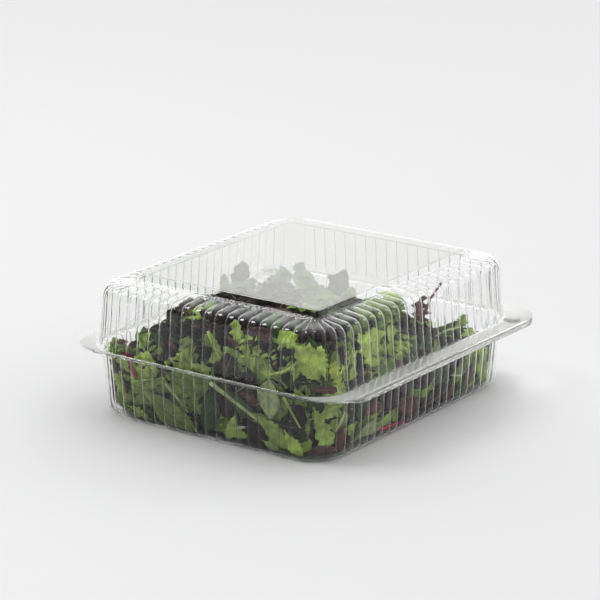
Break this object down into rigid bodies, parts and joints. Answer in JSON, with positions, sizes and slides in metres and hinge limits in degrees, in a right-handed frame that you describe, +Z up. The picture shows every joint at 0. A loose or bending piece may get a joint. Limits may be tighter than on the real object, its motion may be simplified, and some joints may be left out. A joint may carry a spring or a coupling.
{
  "type": "takeaway meal container",
  "caption": "Clear hinged takeaway box with ribbed walls and a raised lid panel, shut over a heap of mixed baby salad leaves.",
  "frame": {"origin": "middle of the base's flat underside", "axes": "+Z up, +X across the box along the hinge, +Y from the hinge to the side that opens"},
  "size_m": [0.2156, 0.2443, 0.0933],
  "materials": {
    "clear_base": "clear formed sheet, glossy",
    "clear_lid": "clear formed sheet, glossy",
    "leaves": "fresh leaves in greens and dark red, slightly waxy"
  },
  "bodies": {
    "box": {"base": "clear_base", "salad": "leaves"},
    "top": {"lid": "clear_lid"}
  },
  "joints": [
    {"name": "lid_hinge", "type": "hinge", "parent": "box", "child": "top", "pos_m": [0, -0.1156, 0.04578], "axis": [1, 0, 0], "range_deg": [0, 165]}
  ]
}
